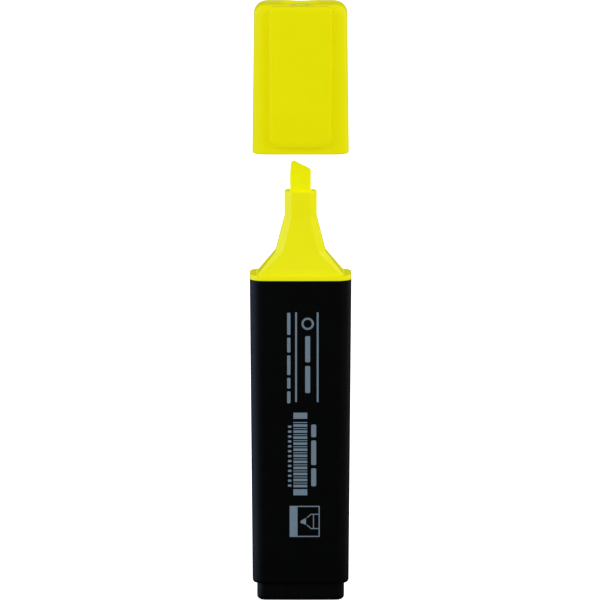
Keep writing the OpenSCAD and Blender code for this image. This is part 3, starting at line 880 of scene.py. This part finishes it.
def softbox(name, azimuth, elevation, distance, size, watts, colour=(1, 1, 1), sheen_only=False):
    """A rectangular light aimed at the pen's axis, 80 mm up. Azimuth 0 stands in front, 90 on the right.

    A box for sheen only shows in reflections and doesn't light the plastic's own colour.
    """
    a, e = math.radians(azimuth), math.radians(elevation)
    target = Vector((0, 0, 0.08))
    away = Vector((math.sin(a) * math.cos(e), -math.cos(a) * math.cos(e), math.sin(e)))
    data = bpy.data.lights.new(name, "AREA")
    data.shape = "RECTANGLE"
    data.size, data.size_y = size
    data.energy = watts
    data.color = colour
    light = bpy.data.objects.new(name, data)
    bpy.context.scene.collection.objects.link(light)
    light.location = target + away * distance
    light.rotation_euler = (-away).to_track_quat("-Z", "Y").to_euler()
    light.visible_diffuse = not sheen_only


def make_floor():
    """A wide white floor that neither lights the object nor shows in its reflections.

    It lies just below the plug, so that the two don't share a plane.
    """
    size, steps, drop = 6.0, 8, 0.0002
    bm = bmesh.new()
    bmesh.ops.create_grid(bm, x_segments=steps, y_segments=steps, size=size)
    mesh = bpy.data.meshes.new("floor")
    bm.to_mesh(mesh)
    bm.free()
    floor = bpy.data.objects.new("floor", mesh)
    bpy.context.scene.collection.objects.link(floor)
    n = Nodes("floor_white")
    n.link(n.range(n.noise(3), 0.84, 0.88), n.shader.inputs["Base Color"])
    n.set(Roughness=0.9, Specular_IOR_Level=0.1, Emission_Color=(1, 1, 1, 1), Emission_Strength=0.9)
    mesh.materials.append(n.material)
    floor.location.z = -drop
    floor.visible_glossy = False
    floor.visible_diffuse = False


def make_world():
    """A soft fill, nearly black in reflections, and pale grey where the camera looks past the floor."""
    world = bpy.data.worlds.new("world")
    bpy.context.scene.world = world
    world.use_nodes = True
    tree = world.node_tree
    tree.nodes.clear()
    path = tree.nodes.new("ShaderNodeLightPath")
    shader = None
    for kind, strength in ((None, 0.67), ("Is Glossy Ray", 0.04), ("Is Camera Ray", 1.0)):
        sky = tree.nodes.new("ShaderNodeBackground")
        sky.inputs["Strength"].default_value = strength
        if kind is None:
            shader = sky
            continue
        either = tree.nodes.new("ShaderNodeMixShader")
        tree.links.new(path.outputs[kind], either.inputs[0])
        tree.links.new(shader.outputs[0], either.inputs[1])
        tree.links.new(sky.outputs[0], either.inputs[2])
        shader = either
    out = tree.nodes.new("ShaderNodeOutputWorld")
    tree.links.new(shader.outputs[0], out.inputs["Surface"])


def make_stage():
    bpy.context.scene.view_settings.view_transform = "Standard"
    make_camera()
    make_floor()
    make_world()
    softbox("left_sheen_box", -101, 14, 0.7, (0.9, 0.95), 3.2, (0.46, 0.65, 1.0), sheen_only=True)
    softbox("left_box", -75, 14, 0.9, (0.9, 0.9), 1.5, (0.75, 0.9, 1.0))
    softbox("key_box", -30, 32, 0.9, (1.1, 0.8), 1.45)
    softbox("fill_box", 60, 26, 0.9, (0.9, 0.8), 1.7)
    softbox("right_box", 112, 16, 0.9, (0.4, 0.8), 1.4)


# ---------------------------------------------------------------- the whole

make_stage()
make_barrel()
make_plug()
make_front_section()
make_nib()
make_cap_shell()
make_inner_cap()
make_clip()
make_print()
for node, material in (("ink_reservoir", CORE_FIBRE), ("reservoir_film", FILM)):
    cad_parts[node].data.materials.clear()
    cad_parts[node].data.materials.append(material)
